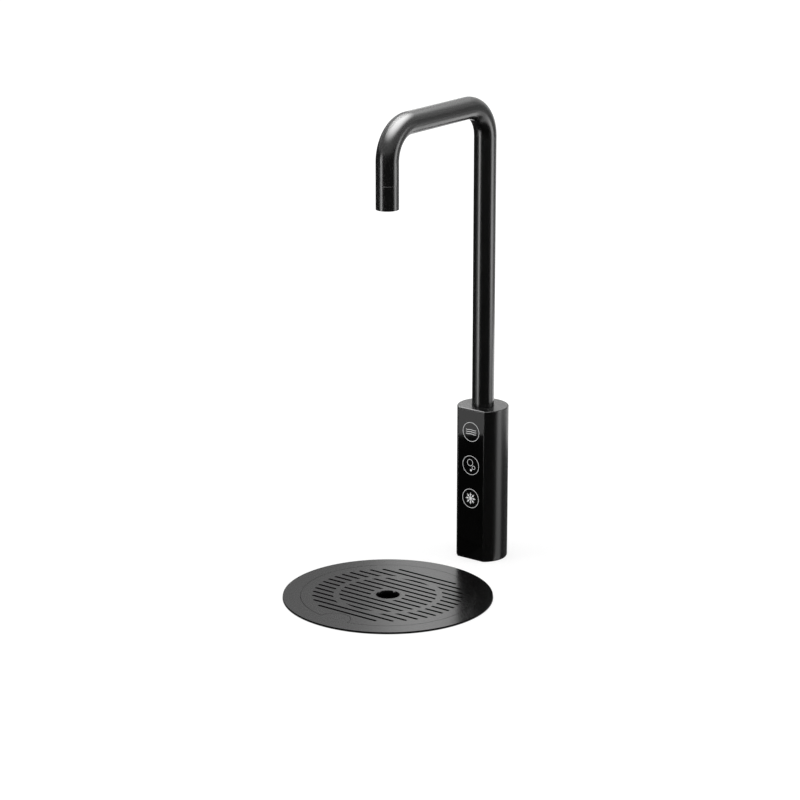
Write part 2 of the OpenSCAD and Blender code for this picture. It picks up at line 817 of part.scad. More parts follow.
// Disc of six sided cells that steadies the stream
module flow_straightener() {
    reach_r = sleeve_in_r - cell_rim - cell_d / 2;
    steps = ceil(reach_r / cell_pitch) + 1;
    color("#c9ccce") translate([0, -reach, outlet_h + lip_h]) linear_extrude(straightener_t)
        difference() {
            circle(sleeve_in_r);
            for (i = [-steps:steps])
                for (j = [-steps:steps]) {
                    x = cell_pitch * (i + j / 2);
                    y = cell_pitch * j * sin(60);
                    if (norm([x, y]) <= reach_r) translate([x, y]) rotate(30) circle(d = cell_d, $fn = 6);
                }
        }
}

// Lobe of the rim that reaches in over the tub, grown by a gap
module lobe_outline(gap) {
    intersection() {
        translate([0, -lobe_reach]) circle(lobe_r + gap);
        circle(rim_in_r + tub_wall / 2);
    }
}

// Flat ring round the tray with a lobe at its front
module tray_rim() {
    color("#232324") translate([0, -reach, rim_under]) {
        rotate_extrude() difference() {
            eased_profile(tray_r, rim_t, rim_edge_r);
            translate([0, -cut]) square([rim_in_r, rim_t + 2 * cut]);
        }
        linear_extrude(rim_t) lobe_outline(0);
    }
}

// Bowl under the grille, with a ledge at its top and a fall to the drain
module tray_tub() {
    color("#2b2b2d") translate([0, -reach, 0]) rotate_extrude() polygon([
        [drain_in_r, drain_end], [drain_in_r, strainer_z], [strainer_seat_r, strainer_z],
        [strainer_seat_r, floor_low], [bowl_r, -tub_depth], [bowl_r, ledge_z], [rim_in_r, ledge_z],
        [rim_in_r, rim_under], [tub_ring_r, rim_under], [tub_ring_r, ledge_z - tub_wall],
        [bowl_r + tub_wall, ledge_z - tub_wall], [bowl_r + tub_wall, -tub_depth - tub_wall],
        [strainer_seat_r + tub_wall, drain_top], [drain_r, drain_top],
        [drain_r, drain_end + drain_lead_h], [drain_r - drain_lead_w, drain_end]
    ]);
}

module tray_seal() {
    color("#101010") translate([0, -reach, 0]) ring(tray_seal_r, tray_seal_r - tray_seal_w, 0, rim_under);
}

// Disc with rings of small holes over the drain
module drain_strainer() {
    color("#a9abae") translate([0, -reach, strainer_z]) linear_extrude(strainer_t) difference() {
        circle(strainer_r);
        circle(d = strainer_hole_d);
        for (row = [1:2])
            for (k = [0:6 * row - 1])
                rotate(60 * k / row) translate([0, row * strainer_row]) circle(d = strainer_hole_d);
    }
}

// Rubber pads on the ledge that the grille lies on
module grille_pads() {
    color("#101010") for (k = [0:pad_count - 1])
        translate([0, -reach, ledge_z]) rotate([0, 0, pad_turn + 360 * k / pad_count])
            translate([pad_circle, 0, 0]) cylinder(d = pad_d, h = pad_t);
}

// Row of slots on each step across the grille, with round ends on one circle
module slot_rows() {
    for (i = [-slot_steps:slot_steps]) {
        y = i * slot_pitch;
        half = sqrt(pow(slot_reach - slot_w / 2, 2) - y * y);
        translate([-half, y - slot_w / 2]) square([2 * half, slot_w]);
        for (x = [-half, half]) translate([x, y]) circle(d = slot_w);
    }
}

// Slots with the plain ring and the plain middle left standing
module slot_outline() {
    difference() {
        slot_rows();
        difference() {
            circle(band_out);
            circle(band_in);
        }
        circle(hub_r);
    }
}

// Slotted disc that lifts out of the tray
module tray_grille() {
    color("#1f1f20") translate([0, -reach, grille_under]) {
        linear_extrude(grille_t) difference() {
            circle(grille_r);
            lobe_outline(seam_gap);
            slot_outline();
            circle(d = hole_d);
        }
        ring(hole_d / 2 + collar_wall, hole_d / 2, grille_t - collar_h, collar_h);
    }
}

body_shell();
base_plate();
base_seal();
shell_screws();
touch_panel();
panel_bond();
light_spreaders();
touch_board();
board_screws();
board_connector();
sensor_lead();
spout_housing();
housing_screws();
lower_bush();
upper_bush();
bush_spacer();
friction_ring();
thrust_washer();
stop_screw();
shank();
worktop_gasket();
clamp_washer();
lock_nut();
inlet_block();
inlet_collets();
inlet_seals();
signal_socket();
still_line();
sparkling_line();
spout_tube();
still_line_spout();
sparkling_line_spout();
outlet_insert();
nozzle_seal();
nozzle_sleeve();
flow_straightener();
tray_rim();
tray_tub();
tray_seal();
drain_strainer();
grille_pads();
tray_grille();
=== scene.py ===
# %% [markdown]
# # A black sparkling water tap, dressed for its picture
#
# The construction model holds every solid of this tap: the D shaped column, the bent spout that
# swivels on it, the round drip tray let into the worktop, and all that works inside them. This
# notebook keeps those solids as they are and adds what a picture needs: a camera, a small studio,
# a finish for every piece, and finer meshes where the real tap has edges and marks that solids of
# construction leave out.

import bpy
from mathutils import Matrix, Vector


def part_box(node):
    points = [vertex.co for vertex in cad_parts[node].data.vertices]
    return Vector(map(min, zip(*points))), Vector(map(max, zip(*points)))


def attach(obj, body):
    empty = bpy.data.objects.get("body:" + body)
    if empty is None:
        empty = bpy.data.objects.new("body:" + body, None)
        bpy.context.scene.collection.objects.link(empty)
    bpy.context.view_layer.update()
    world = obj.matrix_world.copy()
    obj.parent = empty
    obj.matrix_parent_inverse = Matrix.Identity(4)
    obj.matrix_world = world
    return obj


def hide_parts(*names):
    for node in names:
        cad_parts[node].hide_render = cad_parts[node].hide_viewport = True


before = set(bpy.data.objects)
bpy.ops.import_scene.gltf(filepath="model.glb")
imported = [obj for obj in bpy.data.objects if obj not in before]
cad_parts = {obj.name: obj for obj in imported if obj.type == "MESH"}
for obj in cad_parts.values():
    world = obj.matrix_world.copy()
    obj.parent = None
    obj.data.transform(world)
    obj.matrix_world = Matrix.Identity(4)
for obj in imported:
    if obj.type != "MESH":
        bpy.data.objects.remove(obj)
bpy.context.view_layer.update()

# %% Bring in the tools
from math import cos, pi, radians, sin

import bmesh
import bpy
from bmesh.types import BMEdge, BMFace, BMVert
from mathutils import Matrix, Vector

MM = 0.001
print("one millimetre is", MM, "Blender units")

# %% [markdown]
# ## The camera
#
# The photograph was taken from the right and a little above, through a long lens, so that the
# tap's uprights stay nearly parallel. Azimuth 0 looks at the front of the tap and 90 at its right
# side. The camera could be placed by eye, but a direction, a distance and a target say the same in
# three numbers that can be read off and changed.

# %% Place the camera
VIEW_AZIMUTH = radians(37.354)
VIEW_ELEVATION = radians(16.438)
VIEW_DISTANCE = 2.8092
VIEW_TARGET = Vector((-0.06418, -0.04898, 0.1583))
LENS_MM, SENSOR_MM = 130.07, 36
CLIP_END = 100


def towards(azimuth, elevation):
    """Unit direction from the tap to a place seen at that azimuth and elevation."""
    flat = cos(elevation)
    return Vector((sin(azimuth) * flat, -cos(azimuth) * flat, sin(elevation)))


def place_camera():
    camera = bpy.data.objects.new("camera", bpy.data.cameras.new("camera"))
    bpy.context.scene.collection.objects.link(camera)
    camera.data.lens = LENS_MM
    camera.data.sensor_width = SENSOR_MM
    camera.data.clip_end = CLIP_END
    back = towards(VIEW_AZIMUTH, VIEW_ELEVATION)
    camera.location = VIEW_TARGET + VIEW_DISTANCE * back
    camera.rotation_euler = back.to_track_quat("Z", "Y").to_euler()
    bpy.context.scene.camera = camera
    return camera


camera = place_camera()
bpy.context.scene.view_settings.view_transform = "Standard"
print("camera at", [round(v, 3) for v in camera.location])

# %% [markdown]
# ## Small helpers for materials
#
# Every finish below is a node tree. Writing each node and link by hand makes long code that hides
# the idea, so short helpers add a node with its values, join sockets and start a group of nodes.


# %% Helpers for node trees
def add_node(tree, kind, inputs=None, **settings):
    node = tree.nodes.new(kind)
    for name, value in settings.items():
        setattr(node, name, value)
    for name, value in (inputs or {}).items():
        node.inputs[name].default_value = value
    return node


def join(tree, *pairs):
    for start, end in pairs:
        tree.links.new(start, end)


def new_group(name, inputs, outputs):
    """Shader group with named sockets. Inputs are (name, kind, value), outputs (name, kind)."""
    tree = bpy.data.node_groups.new(name, "ShaderNodeTree")
    for label, kind, value in inputs:
        socket = tree.interface.new_socket(name=label, in_out="INPUT", socket_type=kind)
        if value is not None:
            socket.default_value = value
    for label, kind in outputs:
        tree.interface.new_socket(name=label, in_out="OUTPUT", socket_type=kind)
    return tree, tree.nodes.new("NodeGroupInput"), tree.nodes.new("NodeGroupOutput")


print("helpers ready")

# %% [markdown]
# ## Shared effects
#
# Three effects return in many of the finishes. Sprayed coats have a fine grain and a slow drift in
# tone. Moulded plastic and rubber have the pebbled skin of their tool. Turned metal has rings that
# the cutter left. Each is built once as a group that puts out masks and heights only, and each
# material decides what they do to its colour, roughness and bump.


# %% Group: sprayed grain
def make_grain_group():
    tree, start, end = new_group(
        "sprayed_grain",
        [("Vector", "NodeSocketVector", None), ("Grain Scale", "NodeSocketFloat", 2500.0),
         ("Drift Scale", "NodeSocketFloat", 30.0)],
        [("Grain", "NodeSocketFloat"), ("Drift", "NodeSocketFloat")])
    grain = add_node(tree, "ShaderNodeTexNoise", {"Detail": 3.0, "Roughness": 0.6})
    drift = add_node(tree, "ShaderNodeTexNoise",
                     {"Detail": 2.0, "Roughness": 0.5, "Distortion": 0.4})
    join(tree, (start.outputs["Vector"], grain.inputs["Vector"]),
         (start.outputs["Grain Scale"], grain.inputs["Scale"]),
         (start.outputs["Vector"], drift.inputs["Vector"]),
         (start.outputs["Drift Scale"], drift.inputs["Scale"]),
         (grain.outputs["Fac"], end.inputs["Grain"]), (drift.outputs["Fac"], end.inputs["Drift"]))
    return tree


grain_group = make_grain_group()
print("group", grain_group.name)


# %% Group: moulded skin
def make_skin_group():
    tree, start, end = new_group(
        "moulded_skin",
        [("Vector", "NodeSocketVector", None), ("Pebble Scale", "NodeSocketFloat", 900.0),
         ("Drift Scale", "NodeSocketFloat", 60.0)],
        [("Height", "NodeSocketFloat"), ("Drift", "NodeSocketFloat")])
    pebble = add_node(tree, "ShaderNodeTexVoronoi", {"Smoothness": 0.6}, feature="SMOOTH_F1")
    drift = add_node(tree, "ShaderNodeTexNoise", {"Detail": 2.0})
    join(tree, (start.outputs["Vector"], pebble.inputs["Vector"]),
         (start.outputs["Pebble Scale"], pebble.inputs["Scale"]),
         (start.outputs["Vector"], drift.inputs["Vector"]),
         (start.outputs["Drift Scale"], drift.inputs["Scale"]),
         (pebble.outputs["Distance"], end.inputs["Height"]),
         (drift.outputs["Fac"], end.inputs["Drift"]))
    return tree


skin_group = make_skin_group()
print("group", skin_group.name)


# %% Group: turned rings
def make_rings_group():
    tree, start, end = new_group(
        "turned_rings",
        [("Vector", "NodeSocketVector", None), ("Ring Scale", "NodeSocketFloat", 1500.0),
         ("Stretch", "NodeSocketFloat", 0.04)],
        [("Height", "NodeSocketFloat"), ("Streak", "NodeSocketFloat")])
    parts = add_node(tree, "ShaderNodeSeparateXYZ")
    flat_x = add_node(tree, "ShaderNodeMath", operation="MULTIPLY")
    flat_y = add_node(tree, "ShaderNodeMath", operation="MULTIPLY")
    squeezed = add_node(tree, "ShaderNodeCombineXYZ")
    rings = add_node(tree, "ShaderNodeTexNoise", {"Detail": 4.0, "Roughness": 0.7})
    streak = add_node(tree, "ShaderNodeTexNoise", {"Detail": 1.0, "Scale": 90.0})
    join(tree, (start.outputs["Vector"], parts.inputs["Vector"]),
         (parts.outputs["X"], flat_x.inputs[0]), (start.outputs["Stretch"], flat_x.inputs[1]),
         (parts.outputs["Y"], flat_y.inputs[0]), (start.outputs["Stretch"], flat_y.inputs[1]),
         (flat_x.outputs["Value"], squeezed.inputs["X"]),
         (flat_y.outputs["Value"], squeezed.inputs["Y"]),
         (parts.outputs["Z"], squeezed.inputs["Z"]),
         (squeezed.outputs["Vector"], rings.inputs["Vector"]),
         (start.outputs["Ring Scale"], rings.inputs["Scale"]),
         (squeezed.outputs["Vector"], streak.inputs["Vector"]),
         (rings.outputs["Fac"], end.inputs["Height"]),
         (streak.outputs["Fac"], end.inputs["Streak"]))
    return tree


rings_group = make_rings_group()
print("group", rings_group.name)

# %% [markdown]
# ## From effect to finish
#
# All three groups put out one fine signal and one slow one. So one function can build any finish:
# the slow signal mixes two near tones for the base colour, and the fine one varies the roughness
# and lifts a small bump. What never changes over the surface, such as metallic or the strength of
# the reflection, is set on the shader itself. A noise seldom leaves the middle of its range, so
# only that middle is spread over the whole span of roughness.

# %% Helper: build a finish
FINE_LOW, FINE_HIGH = 0.3, 0.7


def make_finish(name, group, tones, rough, depth, scales, **shader_values):
    """tones and rough are pairs (low, high), depth is the bump's height in metres."""
    material = bpy.data.materials.new(name)
    material.use_nodes = True
    tree = material.node_tree
    shader = tree.nodes["Principled BSDF"]
    for label, value in shader_values.items():
        shader.inputs[label.replace("_", " ")].default_value = value
    place = add_node(tree, "ShaderNodeTexCoord")
    effect = add_node(tree, "ShaderNodeGroup", node_tree=group)
    effect.inputs[1].default_value, effect.inputs[2].default_value = scales
    tone = add_node(tree, "ShaderNodeMix", data_type="RGBA")
    tone.inputs["A"].default_value = (*tones[0], 1)
    tone.inputs["B"].default_value = (*tones[1], 1)
    shine = add_node(tree, "ShaderNodeMapRange", {"From Min": FINE_LOW, "From Max": FINE_HIGH,
                                                  "To Min": rough[0], "To Max": rough[1]})
    bump = add_node(tree, "ShaderNodeBump", {"Distance": depth})
    join(tree, (place.outputs["Object"], effect.inputs["Vector"]),
         (effect.outputs[1], tone.inputs["Factor"]),
         (tone.outputs["Result"], shader.inputs["Base Color"]),
         (effect.outputs[0], shine.inputs["Value"]),
         (shine.outputs["Result"], shader.inputs["Roughness"]),
         (effect.outputs[0], bump.inputs["Height"]),
         (bump.outputs["Normal"], shader.inputs["Normal"]))
    return material


def grey(value, tint=0.0):
    """Neutral tone, a little bluer with a positive tint and a little warmer with a negative one."""
    return (value * (1 - tint), value, value * (1 + tint))


print("finish builder ready")

# %% [markdown]
# ## The black coats
#
# Column, spout and nozzle have a satin black coat on metal: nearly no colour of its own, and a
# clear but soft reflection. That needs a very dark base, a moderate roughness and a normal
# reflection. The tray's coat is the same black, a touch smoother, because its flat top mirrors the
# room as one even sheet. The ring at the column's foot looks dead black on the real tap, so its
# coat is rough and reflects little.

# %% Make the black coats
FINISHES = {}
FINISHES["black_coat"] = make_finish(
    "black_coat", grain_group, (grey(0.0028), grey(0.0040)), (0.23, 0.27), 0.6e-6, (2600, 24),
    Specular_IOR_Level=0.5)
FINISHES["tray_coat"] = make_finish(
    "tray_coat", grain_group, (grey(0.0028), grey(0.0042)), (0.19, 0.22), 0.3e-6, (2200, 18),
    Specular_IOR_Level=0.5)
FINISHES["plinth_coat"] = make_finish(
    "plinth_coat", grain_group, (grey(0.0030), grey(0.0045)), (0.42, 0.50), 3.0e-6, (1800, 30),
    Specular_IOR_Level=0.15)
print("coats:", list(FINISHES))

# %% [markdown]
# ## Glass of the touch panel
#
# The panel is black behind clear glass, so it mirrors what stands before it. Real glass that hands
# touch is never quite even: a faint slow change of roughness is enough to keep it from looking
# computed.

# %% Make the panel's glass
FINISHES["panel_glass"] = make_finish(
    "panel_glass", grain_group, (grey(0.0010), grey(0.0018)), (0.035, 0.06), 2.0e-7, (160, 45),
    Specular_IOR_Level=0.5)
print("glass:", FINISHES["panel_glass"].name)

# %% [markdown]
# ## Plastics, rubber and foam
#
# Inside the column and below the worktop are moulded pieces. Their tool leaves a pebbled skin, so
# they share the moulded skin group and differ in tone, in the size of the pebbles and in shine.
# A table says this in one line for each: dark and light tone, lowest and highest roughness, height
# of the skin in metres, and how many pebbles go into a metre.

# %% Make the moulded finishes
SKIN_DRIFT = 50
MOULDED = {
    "rubber": (grey(0.012), grey(0.022), 0.70, 0.85, 8e-6, 1400),
    "foam": (grey(0.015), grey(0.030), 0.85, 0.95, 3e-5, 1100),
    "spreader_plastic": (grey(0.62, 0.01), grey(0.72, 0.01), 0.45, 0.55, 4e-6, 900),
    "board_laminate": ((0.010, 0.055, 0.025), (0.016, 0.075, 0.036), 0.35, 0.45, 3e-6, 700),
    "white_plastic": ((0.62, 0.60, 0.55), (0.70, 0.68, 0.62), 0.35, 0.45, 3e-6, 800),
    "bearing_plastic": ((0.56, 0.54, 0.46), (0.66, 0.64, 0.56), 0.30, 0.42, 2e-6, 1200),
    "black_plastic": (grey(0.014), grey(0.022), 0.40, 0.52, 5e-6, 900),
    "grey_plastic": (grey(0.11, 0.02), grey(0.15, 0.02), 0.35, 0.48, 4e-6, 900),
    "lead_sheath": (grey(0.010), grey(0.018), 0.45, 0.58, 4e-6, 1500),
    "still_tube": ((0.70, 0.73, 0.75), (0.78, 0.81, 0.83), 0.28, 0.36, 2e-6, 600),
    "sparkling_tube": ((0.38, 0.56, 0.70), (0.46, 0.64, 0.77), 0.28, 0.36, 2e-6, 600),
}
for name, (dark, light, low, high, depth, pebble) in MOULDED.items():
    FINISHES[name] = make_finish(name, skin_group, (dark, light), (low, high), depth,
                                 (pebble, SKIN_DRIFT))
print("moulded finishes:", len(MOULDED))

# %% [markdown]
# ## Bare metals
#
# The shank and its nut are turned brass, the screws and washers steel, and the swivel's housing is
# cast and then turned. Rings along the axis come from the turned rings group. Brass and steel
# differ in colour and in how bright the cut is. The table has the same columns as the last one,
# with the number of rings at its end.

# %% Make the metal finishes
RING_STRETCH = 0.04
METALS = {
    "steel": (grey(0.50, 0.01), grey(0.60, 0.01), 0.24, 0.36, 3e-6, 1600),
    "brass": ((0.58, 0.42, 0.17), (0.70, 0.52, 0.24), 0.26, 0.38, 4e-6, 1300),
    "cast_housing": (grey(0.42, 0.01), grey(0.52, 0.01), 0.38, 0.52, 6e-6, 900),
}
for name, (dark, light, low, high, depth, ring) in METALS.items():
    FINISHES[name] = make_finish(name, rings_group, (dark, light), (low, high), depth,
                                 (ring, RING_STRETCH), Metallic=1.0)
print("metals:", list(METALS))

# %% [markdown]
# ## Dress the solids
#
# Each solid arrives with a plain material that is named after its finish. Only the material in the
# solid's slot is exchanged, and its mesh and its place are never touched. The plain materials then
# go, and the new ones take over their names.


# %% Give every solid its finish
def dress_solids():
    plain_materials = {}
    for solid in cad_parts.values():
        for slot in solid.material_slots:
            plain = slot.material
            plain_materials[plain.name] = plain
            slot.material = FINISHES[plain.name.split(".")[0]]
    for plain in plain_materials.values():
        bpy.data.materials.remove(plain)
    for name, finish in FINISHES.items():
        finish.name = name


dress_solids()
print("dressed", len(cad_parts), "solids, materials:", len(bpy.data.materials))

# %% [markdown]
# ## Helpers for new pieces
#
# Some pieces need more than the solids give: crisp eased edges on the tray's plates, the printed
# touch marks, and the threads below the worktop. Each is made in a bmesh and then becomes an object
# at the origin, which rides on a body of the model, as its solid does.

# %% Turn a bmesh into a piece
LEVEL_FACE = 0.9999


def mesh_object(name, bm, material=None, smooth_angle=None):
    """Object at the origin from a finished bmesh, shaded smooth up to an angle where one is given.

    Level faces stay flat, so that a plate's top mirrors the room without waves.
    """
    mesh = bpy.data.meshes.new(name)
    bm.to_mesh(mesh)
    bm.free()
    if smooth_angle is not None:
        mesh.shade_smooth()
        mesh.set_sharp_from_angle(angle=smooth_angle)
        for face in mesh.polygons:
            face.use_smooth = abs(face.normal.z) < LEVEL_FACE
    piece = bpy.data.objects.new(name, mesh)
    bpy.context.scene.collection.objects.link(piece)
    if material is not None:
        mesh.materials.append(material)
    return piece


def add_piece(name, bm, body, slot, smooth_angle=radians(35), instead_of=(), finish=None):
    """Adds a piece of the tap. It rides on a body and may stand for solids of the model."""
    piece = mesh_object(name, bm, finish or FINISHES[slot], smooth_angle)
    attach(piece, body)
    if instead_of:
        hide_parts(*instead_of)
    print(name, "faces:", len(piece.data.polygons), "rides", body)
    return piece


print("piece helpers ready")

# %% [markdown]
# The operators of a bmesh give back vertices, edges and faces in one mixed list, and some leave
# vertices on top of each other. A few short helpers sort the list, weld the vertices, draw a circle
# and give flat faces a thickness, which the plates and the printed marks both need.

# %% Helpers for meshes
WELD = 2e-6


def only(kind, items):
    """Those of the items that are of one kind: BMVert, BMEdge or BMFace."""
    return [item for item in items if isinstance(item, kind)]


def weld(bm):
    """Makes one vertex of those that lie on each other."""
    bmesh.ops.remove_doubles(bm, verts=bm.verts[:], dist=WELD)


def circle(bm, radius, place, segments):
    """Edges of a new circle at a place, which is a matrix. They always come in the same order."""
    made = bmesh.ops.create_circle(bm, segments=segments, radius=radius, matrix=place)
    return list(dict.fromkeys(edge for vert in made["verts"] for edge in vert.link_edges))


def thicken(bm, offset):
    """Makes flat faces into closed sheets, and gives back the faces on their new side."""
    grown = bmesh.ops.extrude_face_region(bm, geom=bm.faces[:], use_keep_orig=True)["geom"]
    bmesh.ops.translate(bm, verts=only(BMVert, grown), vec=offset)
    bmesh.ops.recalc_face_normals(bm, faces=bm.faces[:])
    return set(only(BMFace, grown))


print("vertices closer than", WELD, "m are welded")

# %% [markdown]
# ## The tray's two plates
#
# The rim and the grille are cut from flat sheet, and their edges are broken by less than a tenth of
# a millimetre, so the slots stay crisp and the tray shows a clean black edge. Drawing all the rows
# of slots again would risk a different shape. So each solid's own flat underside is kept, pulled up
# to the sheet's thickness, and the edges of its upper face are bevelled.

# %% Helper: sheet with broken edges
TRAY_TOP = 1.9 * MM
BROKEN_EDGE = 0.06 * MM
SAME_HEIGHT = 1e-5
FACING_UP = 0.99


def sheet_from(node, under):
    """Sheet with the outline of a solid's flat underside, from height under to the tray's top."""
    bm = bmesh.new()
    bm.from_mesh(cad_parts[node].data)
    weld(bm)
    bm.normal_update()
    spare = [face for face in bm.faces
             if abs(face.calc_center_median().z - under) > SAME_HEIGHT
             or abs(face.normal.z) < FACING_UP]
    bmesh.ops.delete(bm, geom=spare, context="FACES")
    roof = thicken(bm, (0, 0, TRAY_TOP - under))
    edges = [edge for edge in bm.edges if len(roof.intersection(edge.link_faces)) == 1]
    bmesh.ops.bevel(bm, geom=edges, offset=BROKEN_EDGE, offset_type="OFFSET", segments=1,
                    profile=0.5, affect="EDGES", clamp_overlap=False, material=-1,
                    loop_slide=False)
    return bm


# %% Rim and grille
RIM_UNDER = 0.6 * MM
GRILLE_UNDER = -0.7 * MM

rim = sheet_from("tray_rim", RIM_UNDER)
rim_plate = add_piece("rim_plate", rim, "fixed", "tray_coat", instead_of=["tray_rim"])
grille = sheet_from("tray_grille", GRILLE_UNDER)
slotted_grille = add_piece("slotted_grille", grille, "grille", "tray_coat",
                           instead_of=["tray_grille"])

# %% [markdown]
# ## The grille's collar
#
# The collar is pressed into the hole in the middle, flush with the top, and its bore narrows a
# little on its way down. That small taper tips the far wall towards the studio, so the wall shows
# two glints where it mirrors the upright panels. A turned piece needs only its outline, which is
# spun once round the hole's middle.


# %% Helper: turned shape
def add_turned(bm, outline, centre, steps=96):
    """Spins a closed outline of (radius, height) points round an upright axis."""
    corners = [bm.verts.new(centre + Vector((r, 0, z))) for r, z in outline]
    edges = [bm.edges.new((corners[i - 1], corners[i])) for i in range(len(corners))]
    bmesh.ops.spin(bm, geom=corners + edges, cent=centre, axis=(0, 0, 1), angle=2 * pi,
                   steps=steps, use_merge=True, use_duplicate=False)
    weld(bm)
    bmesh.ops.recalc_face_normals(bm, faces=bm.faces[:])


# %% Collar
TRAY_CENTRE = Vector((0, -152 * MM, 0))
BORE_TOP, BORE_LOW = 11.4 * MM, 10.7 * MM
COLLAR_OUT, COLLAR_END = 12.8 * MM, -2.1 * MM
TOP_EASE, FOOT_EASE = 0.03 * MM, 0.3 * MM
COLLAR_OUTLINE = [
    (BORE_TOP, TRAY_TOP), (COLLAR_OUT - TOP_EASE, TRAY_TOP), (COLLAR_OUT, TRAY_TOP - TOP_EASE),
    (COLLAR_OUT, COLLAR_END + FOOT_EASE), (COLLAR_OUT - FOOT_EASE, COLLAR_END),
    (BORE_LOW, COLLAR_END), (BORE_LOW, GRILLE_UNDER),
]

collar = bmesh.new()
add_turned(collar, COLLAR_OUTLINE, TRAY_CENTRE)
grille_collar = add_piece("grille_collar", collar, "grille", "tray_coat")

# %% [markdown]
# ## The threaded shank
#
# Below the worktop the tap is held by a brass shank with a thread along its whole length, which the
# lock nut runs on. Stacked rings would look much the same, but a real thread climbs. So one notch,
# as high as the pitch, is swept up a helix by a spin with an upward step, and the ends are cut
# level. The crests keep the solid's radius, so the nut and the washer still fit.

# %% Helper: outside thread
NOTCH = [(0, 0.0), (0, 0.2), (1, 0.5), (1, 0.7), (0, 1.0)]
SPARE_TURNS = 3
CUT_REACH, END_REACH = 1e-7, 1e-6


def add_thread(bm, crest, depth, bore, low, high, pitch, steps=48):
    """Hollow threaded rod on the column's axis. Gives back how many turns were swept.

    NOTCH has its points as parts of the depth, from the crest inwards, and of the pitch, upwards.
    """
    turns = int((high - low) / pitch) + SPARE_TURNS
    corners = [bm.verts.new((crest - inward * depth, 0, low + (upward - 1) * pitch))
               for inward, upward in NOTCH]
    edges = [bm.edges.new(pair) for pair in zip(corners, corners[1:])]
    bmesh.ops.spin(bm, geom=corners + edges, cent=(0, 0, 0), axis=(0, 0, 1),
                   dvec=(0, 0, pitch / steps), angle=2 * pi * turns, steps=steps * turns,
                   use_merge=False, use_duplicate=False)
    weld(bm)
    for height, side in ((low, -1), (high, 1)):
        bmesh.ops.bisect_plane(bm, geom=bm.verts[:] + bm.edges[:] + bm.faces[:], dist=CUT_REACH,
                               clear_outer=True, plane_co=(0, 0, height), plane_no=(0, 0, side))
    bore_edges = []
    for height in (low, high):
        cut = [edge for edge in bm.edges if edge.is_boundary
               and all(abs(vert.co.z - height) < END_REACH for vert in edge.verts)]
        inner = circle(bm, bore, Matrix.Translation((0, 0, height)), steps)
        bmesh.ops.triangle_fill(bm, edges=cut + inner, use_beauty=True, normal=(0, 0, 1))
        bore_edges += inner
    bmesh.ops.bridge_loops(bm, edges=bore_edges)
    bmesh.ops.recalc_face_normals(bm, faces=bm.faces[:])
    return turns


# %% Shank
THREAD_PITCH, THREAD_DEPTH, SHANK_BORE_R = 2.0 * MM, 0.9 * MM, 11.0 * MM

shank_low, shank_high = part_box("shank")
shank_r = (shank_high[0] - shank_low[0]) / 2
shank = bmesh.new()
turns = add_thread(shank, shank_r, THREAD_DEPTH, SHANK_BORE_R, shank_low[2], shank_high[2],
                   THREAD_PITCH)
print("open edges:", sum(not edge.is_manifold for edge in shank.edges), "turns:", turns)
add_piece("threaded_shank", shank, "fixed", "brass", instead_of=["shank"])

# %% [markdown]
# ## Touch marks
#
# Three thin rings are printed on the glass, 34 millimetres apart, each with a sign in it: waves for
# still water, bubbles for sparkling and a crystal for chilled. The print has a faint glow of its
# own, which is painted light that keeps the white print bright under the dark front. A line of
# print is modelled as a low raised strip, because an image would go soft when one comes near, and
# because each mark can then be picked as a piece.

# %% Finish of the print
# The print's glow is painted light: it shines as if lit, though no lamp stands behind the glass.
PRINT_PAINTED_GLOW = 0.30

PRINT_FINISH = make_finish(
    "touch_print", skin_group, (grey(0.74, 0.01), grey(0.82, 0.01)), (0.45, 0.55), 1e-6, (1500, 80),
    Emission_Strength=PRINT_PAINTED_GLOW, Emission_Color=(1, 1, 1, 1))
print("print finish:", PRINT_FINISH.name)

# %% Helpers: printed lines
GLASS_FRONT = -19.6 * MM
PRINT_HEIGHT = 0.05 * MM


def on_glass(x, z):
    """Point on the front of the glass. Marks are drawn in millimetres."""
    return Vector((x * MM, GLASS_FRONT, z * MM))


def face_on(x, z):
    """Matrix that stands a level circle up on the glass."""
    return Matrix.Translation(on_glass(x, z)) @ Matrix.Rotation(pi / 2, 4, "X")


def print_dot(bm, x, z, radius):
    bmesh.ops.create_circle(bm, cap_ends=True, segments=32, radius=radius * MM,
                            matrix=face_on(x, z))


def print_ring(bm, x, z, radius, stroke):
    """Ring of print: an inner circle is pulled outwards."""
    inner_r, outer_r = radius - stroke / 2, radius + stroke / 2
    edges = circle(bm, inner_r * MM, face_on(x, z), 64)
    grown = bmesh.ops.extrude_edge_only(bm, edges=edges)["geom"]
    wide = outer_r / inner_r
    bmesh.ops.scale(bm, verts=only(BMVert, grown), vec=(wide, 1, wide),
                    space=Matrix.Translation(-on_glass(x, z)))


def print_stroke(bm, points, stroke):
    """Line of print along points. It starts as a short edge that is pulled from point to point."""
    path = [on_glass(x, z) for x, z in points]
    row = None
    for i, here in enumerate(path):
        along = (path[min(i + 1, len(path) - 1)] - path[max(i - 1, 0)]).normalized()
        across = along.cross(Vector((0, 1, 0))) * stroke / 2 * MM
        if row is None:
            first, last = bm.verts.new(here - across), bm.verts.new(here + across)
            row = bm.edges.new((first, last))
            continue
        grown = bmesh.ops.extrude_edge_only(bm, edges=[row])["geom"]
        row = next(edge for edge in only(BMEdge, grown)
                   if first not in edge.verts and last not in edge.verts)
        first, last = sorted(row.verts, key=lambda vert: (vert.co - here).dot(across))
        first.co, last.co = here - across, here + across


print("front of the glass at y =", GLASS_FRONT)

# %% Helper: finished mark
RING_Z = {"still": 130.6, "sparkling": 96.7, "chilled": 62.8}
RING_R, RING_STROKE = 9.5, 0.42


def add_mark(kind, bm):
    """Puts the ring round a sign, lifts both off the glass and adds them as one piece."""
    print_ring(bm, 0, RING_Z[kind], RING_R, RING_STROKE)
    weld(bm)
    thicken(bm, (0, -PRINT_HEIGHT, 0))
    add_piece(kind + "_mark", bm, "fixed", "spreader_plastic", finish=PRINT_FINISH)


print("rings at heights", RING_Z)

